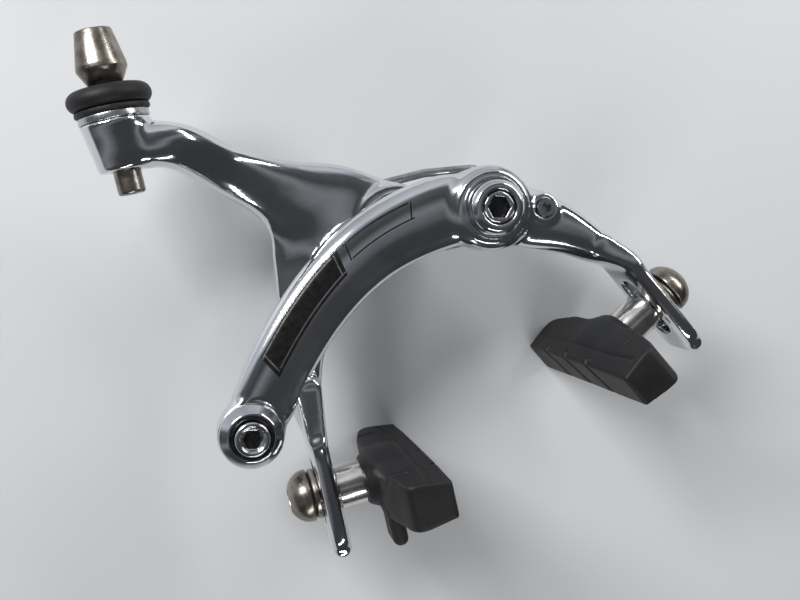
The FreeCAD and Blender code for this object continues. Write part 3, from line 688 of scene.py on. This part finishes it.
socket_head("side_bolt_head", side_bolt_field, 6.0, -21.6, 4.0, front_frame(SIDE, BOSS_FRONT - CAP_HIGH),
            "bridge", FINISH["chromed_steel"], ("side_pivot_bolt",))
socket_head("clamp_bolt_head", clamp_bolt_field, 4.6, -12.4, 2.4,
            front_frame(CLAMP, CLAMP_SEAT - CLAMP_WASHER_HIGH), "front_arm",
            FINISH["chromed_steel"], ("cable_clamp_bolt",))

# %% Shoe hardware
DISH_HIGH = 1.4                                       # dished washer along the post
SPACER_START = 12.65                                  # spacer's near end, from the braking face
SEAT_GAP = 0.2                                        # between the strap and what bears on it
for name, shoe in SHOES.items():
    out, spacer_end = shoe["strap"] + STRAP_THICK + SEAT_GAP, shoe["strap"] - SEAT_GAP
    turned(name + "_dished_ring",
           [(3.0, 0.0), (5.0, 0.0), (5.0, 0.8), (4.3, DISH_HIGH), (3.0, DISH_HIGH)],
           shoe_frame(name, out), name + "_shoe_carrier",
           FINISH["nickel_plated_steel"], (name + "_dished_washer",), 0.2, closed=True)
    socket_head(name + "_dome", dome_field, 5.8, -0.6, 5.4, shoe_frame(name, out + DISH_HIGH),
                name + "_shoe_carrier", FINISH["nickel_plated_steel"],
                (name + "_dome_nut",))
    turned(name + "_spacer_turned",
           [(3.0, SPACER_START), (4.3, SPACER_START), (4.3, spacer_end), (3.0, spacer_end)],
           shoe_frame(name, 0.0), name + "_shoe_carrier", SPACER_STEEL,
           (name + "_pad_spacer",), 0.2, closed=True)

# %% [markdown]
# ## Brake pads
# A pad is one moulding of black rubber: a long block bowed to follow the rim, thinner at both ends, with a
# hump where the post enters, a parting line along its sides, slanting water grooves in its face and a
# small guide fin below. All of that is one distance field in the shoe's own directions.


# %% Brake pads
def ease(value, low, high):
    """0 below low, 1 above high, smooth between."""
    t = np.clip((value - low) / (high - low), 0, 1)
    return t * t * (3 - 2 * t)


def pad_field(up, lateral, out):
    """up and out are the shoe's own directions; lateral runs along the rim, away from the guide fin."""
    ends = ease(abs(lateral), 13.0, 26.0)
    up = up + 0.3 * (lateral / 26.0) ** 2
    tall = 3.75 + 0.9 * ease(out, -1.0, 7.0) - 0.25 * ends
    thick = 10.6 - 1.8 * ends
    half = (4.7, 25.9, 5.2)
    depth = (out - thick / 2) * half[2] / (thick / 2)
    block = rounded_box(up * half[0] / tall, lateral, depth, half, 0.7)
    corner = abs(lateral) * 0.6 + out * 0.8 - 21.7
    block = smooth_max(block, corner, 1.0)
    hump = cylinder(np.hypot(up / 0.86, lateral / 1.25), out, 5.4, 5.0, 12.6, 0.9)
    pad = smooth_min(block, hump, 3.2)
    line = np.exp(-((out - 3.6 - 0.6 * ends) / 0.28) ** 2) * (1 - ease(abs(lateral), 23.0, 25.0))
    pad = pad + 0.42 * line
    for at in (-12.0, -1.0, 10.0):
        groove = np.maximum(abs((lateral - at) * 0.85 + up * 0.53) - 0.42, out - 1.5)
        pad = smooth_max(pad, -groove, 0.2)
    for at in (-17.5, 17.5):
        pad = smooth_max(pad, -np.maximum(abs(lateral - at) - 0.35, np.maximum(3.6 - up, 6.0 - out)), 0.3)
    fin = rounded_box(up + 6.9, lateral + 9.5, out - 9.4, (3.8, 3.8, 1.5), 1.4)
    pad = smooth_min(pad, fin, 1.0)
    return smooth_max(pad, -np.maximum(np.hypot(up, lateral) - 3.05, 9.5 - out), 0.2)


PAD_CELL = 0.33
for name, shoe in SHOES.items():
    local, start = make_grid((-11.0, -27.0, -1.0), (7.0, 27.0, 14.0), PAD_CELL)
    centre, outward, upward = shoe_axes(name)
    points, quads = surface(pad_field(*local), start, PAD_CELL)
    rimward = np.array([0, -shoe["sign"], 0])
    points = centre + points[:, :1] * upward + points[:, 1:2] * rimward + points[:, 2:] * outward
    quads = quads[:, ::-1]  # known fault: these three directions are right-handed, so faces end up inward
    mesh_piece(name + "_pad_moulding", points, quads, name + "_brake_pad",
               FINISH["black_rubber"], (name + "_brake_pad",))

# %% [markdown]
# ## Plain inlay
# The front arm carries a filled recess with a bright border, and a fine engraved frame beside it. Both
# are left without any lettering. Each is a strip laid on the arm's curved front.


# %% Inlay strips
LINE = 0.28                                           # width of a border line
LEAN, LEAN_OVER = 1.8, 5.0                            # ends lean this far along, over about this width
ROOT = 0.35                                           # how far a strip reaches into the arm


def arm_front(path, s, across, lift):
    """Points on the front of the arch: along the limb's path, aside from its middle, and lifted off it."""
    length = np.concatenate([[0], np.cumsum(np.hypot(*np.diff(path[:, :2], axis=0).T))])
    at = np.stack([np.interp(s, length, column) for column in path.T], -1)
    step = np.stack([np.interp(s, length, c) for c in np.gradient(path[:, :2], axis=0).T], -1)
    step /= np.linalg.norm(step, axis=-1, keepdims=True)
    normal = np.stack([-step[..., 1], step[..., 0]], -1)
    spread = np.clip(abs(across) / (at[..., 2] / 2), 0, 0.999)
    rise = (1 - spread ** 2.5) ** (1 / 2.5) * (at[..., 4] - at[..., 3]) / 2
    y = (at[..., 3] + at[..., 4]) / 2 - rise - lift
    return np.stack([at[..., 0] + normal[..., 0] * across, y, at[..., 1] + normal[..., 1] * across], -1)


def strip(name, start, end, low, high, lift, slant, material):
    """A thin closed plate on the arm's front between two distances along it and two offsets aside."""
    path = smooth_path(arch_limb, 300)
    u, v = np.meshgrid(np.linspace(0, 1, 90), np.linspace(0, 1, 12), indexing="ij")
    across = low + (high - low) * v
    s = start + (end - start) * u + slant * (v - 0.5)
    skin = arm_front(path, s, across, lift)
    under = arm_front(path, s, across, -ROOT)
    count = skin.shape[0] * skin.shape[1]
    index = np.arange(count).reshape(skin.shape[:2])
    top = np.stack([index[:-1, :-1], index[1:, :-1], index[1:, 1:], index[:-1, 1:]], -1).reshape(-1, 4)
    rim = np.concatenate([index[0, :], index[1:, -1], index[-1, -2::-1], index[-2:0:-1, 0]])
    nxt = np.roll(rim, -1)
    wall = np.stack([rim, nxt, nxt + count, rim + count], -1)
    quads = np.vstack([top, top[:, ::-1] + count, wall])
    points = np.concatenate([skin.reshape(-1, 3), under.reshape(-1, 3)])
    piece = mesh_piece(name, points, quads, "front_arm", material)
    shell = bmesh.new()
    shell.from_mesh(piece.data)
    bmesh.ops.recalc_face_normals(shell, faces=shell.faces)
    shell.to_mesh(piece.data)
    shell.free()
    piece.data.polygons.foreach_set("use_smooth", np.zeros(len(piece.data.polygons), bool))
    return piece


def outline(name, start, end, low, high, lift, material):
    """Four narrow strips round the edge of a place on the arm's front."""
    sides = (("upper", start, end, low, low + LINE), ("lower", start, end, high - LINE, high),
             ("first", start, start + LINE, low, high), ("last", end - LINE, end, low, high))
    for tag, first, last, near, far in sides:
        strip(name + "_" + tag, first, last, near, far, lift, LEAN * (far - near) / LEAN_OVER, material)


strip("inlay_fill", 30.5, 54.0, -4.4, 0.4, 0.10, LEAN, ENAMEL_AND_PAINTED_SHADE)
outline("inlay_border", 31.3, 53.2, -4.1, -0.1, 0.14, SPACER_STEEL)
outline("engraved_frame", 14.5, 28.5, -4.3, -1.0, 0.05, ENAMEL_AND_PAINTED_SHADE)

# %% [markdown]
# ## Shadowed recesses
# Little light reaches the dished heads and their sockets, so black rings and floors are laid in them as
# painted shade.

# %% Shadowed recesses
# Painted shade: black rings in the dished heads and black floors in the hexagon sockets.
turned("clamp_recess_painted_shade_ring", [(3.1, 1.85), (4.3, 1.85), (4.3, 2.34), (3.1, 2.34)],
       front_frame(CLAMP, CLAMP_SEAT), "front_arm", ENAMEL_AND_PAINTED_SHADE, (), 0.05, closed=True)
turned("clamp_socket_painted_shade_floor", [(0.0, -0.3), (1.75, -0.3), (1.75, 0.35), (0.0, 0.35)],
       front_frame(CLAMP, CLAMP_SEAT - CLAMP_WASHER_HIGH), "front_arm", ENAMEL_AND_PAINTED_SHADE, (), 0.05)
turned("side_recess_painted_shade_ring", [(3.0, 2.6), (3.35, 2.6), (3.35, 2.9), (3.0, 2.9)],
       front_frame(SIDE, BOSS_FRONT - CAP_HIGH), "bridge", ENAMEL_AND_PAINTED_SHADE, (), 0.05, closed=True)
turned("side_socket_painted_shade_floor", [(0.0, 0.6), (2.1, 0.6), (2.1, 1.3), (0.0, 1.3)],
       front_frame(SIDE, BOSS_FRONT - CAP_HIGH), "bridge", ENAMEL_AND_PAINTED_SHADE, (), 0.05)

# %% [markdown]
# ## Camera, floor and light
# The caliper lies on its back, so the floor is the plane behind it, square to the mounting bolt. It is
# seen only from its front, so that views from behind show the caliper and not the floor's back.

# %% Camera
CAMERA_AT = Vector((-35.63, -206.74, 18.37)) * MM
RIGHT = Vector((0.8654, -0.2069, -0.4563))
DOWN = Vector((-0.4785, -0.0717, -0.8751))
FORWARD = Vector((0.1483, 0.9757, -0.1611))
camera_data = bpy.data.cameras.new("camera")
camera_data.sensor_width = 36.0
camera_data.lens = 44.14
camera_data.clip_start = 0.005
camera = bpy.data.objects.new("camera", camera_data)
axes = Matrix((RIGHT, -DOWN, -FORWARD)).transposed().to_4x4()
camera.matrix_world = Matrix.Translation(CAMERA_AT) @ axes
bpy.context.scene.collection.objects.link(camera)
bpy.context.scene.camera = camera

# %% Floor
FLOOR_Y, FLOOR_REACH = 10.3 * MM, 1.6                 # place along Y and reach to each side, in metres
floor_mesh = bpy.data.meshes.new("floor")
sides = ((-1, -1), (1, -1), (1, 1), (-1, 1))
corners = [(x * FLOOR_REACH, FLOOR_Y, z * FLOOR_REACH) for x, z in sides]
floor_mesh.from_pydata(corners, [], [(0, 1, 2, 3)])
floor = bpy.data.objects.new("floor", floor_mesh)
bpy.context.scene.collection.objects.link(floor)
paint = Finish("pale floor")
paint.set(Base_Color=(0.62, 0.63, 0.64, 1), Roughness=0.55)
clear = paint.node("ShaderNodeBsdfTransparent")
from_behind = paint.node("ShaderNodeNewGeometry").outputs["Backfacing"]
mixer = paint.node("ShaderNodeMixShader", Fac=from_behind)
paint.tree.links.new(paint.shader.outputs[0], mixer.inputs[1])
paint.tree.links.new(clear.outputs[0], mixer.inputs[2])
paint.tree.links.new(mixer.outputs[0], paint.tree.nodes["Material Output"].inputs["Surface"])
floor_mesh.materials.append(paint.material)


# %% Lamps and world
def soft_lamp(name, at, target, size, power):
    """A white rectangular soft lamp aimed at a point; places in millimetres, power in watts."""
    data = bpy.data.lights.new(name, "AREA")
    data.shape = "RECTANGLE"
    data.size, data.size_y = size[0] * MM, size[1] * MM
    data.energy = power
    lamp = bpy.data.objects.new(name, data)
    lamp.location = Vector(at) * MM
    lamp.rotation_euler = (Vector(target) - Vector(at)).to_track_quat("-Z", "Y").to_euler()
    bpy.context.scene.collection.objects.link(lamp)


soft_lamp("key", (-160, -330, 330), (0, 0, -10), (230, 70), 2.0)
soft_lamp("side strip", (360, -220, 60), (0, 0, -10), (40, 300), 0.8)
soft_lamp("low strip", (-120, -260, -330), (0, 0, -20), (300, 30), 0.5)
world = bpy.data.worlds.new("studio")
bpy.context.scene.world = world
world.use_nodes = True
tree = world.node_tree
way = tree.nodes.new("ShaderNodeTexCoord")
split = tree.nodes.new("ShaderNodeSeparateXYZ")
tree.links.new(way.outputs["Generated"], split.inputs[0])
fade = tree.nodes.new("ShaderNodeMapRange")
fade.inputs["From Min"].default_value = -1.0
tree.links.new(split.outputs["Z"], fade.inputs["Value"])
shade = tree.nodes.new("ShaderNodeValToRGB")
# Brightness by height, from straight down at 0 to straight up at 1.
sky = ((0.0, 0.06), (0.40, 0.07), (0.50, 0.30), (0.58, 0.08), (0.74, 0.14), (0.82, 0.85), (1.0, 0.60))
fill_ramp(shade, [(height, (level * 0.95, level * 0.98, level * 1.04)) for height, level in sky])
tree.links.new(fade.outputs["Result"], shade.inputs["Fac"])
tree.links.new(shade.outputs["Color"], tree.nodes["Background"].inputs["Color"])
tree.nodes["Background"].inputs["Strength"].default_value = 0.75
bpy.context.scene.view_settings.view_transform = "Standard"
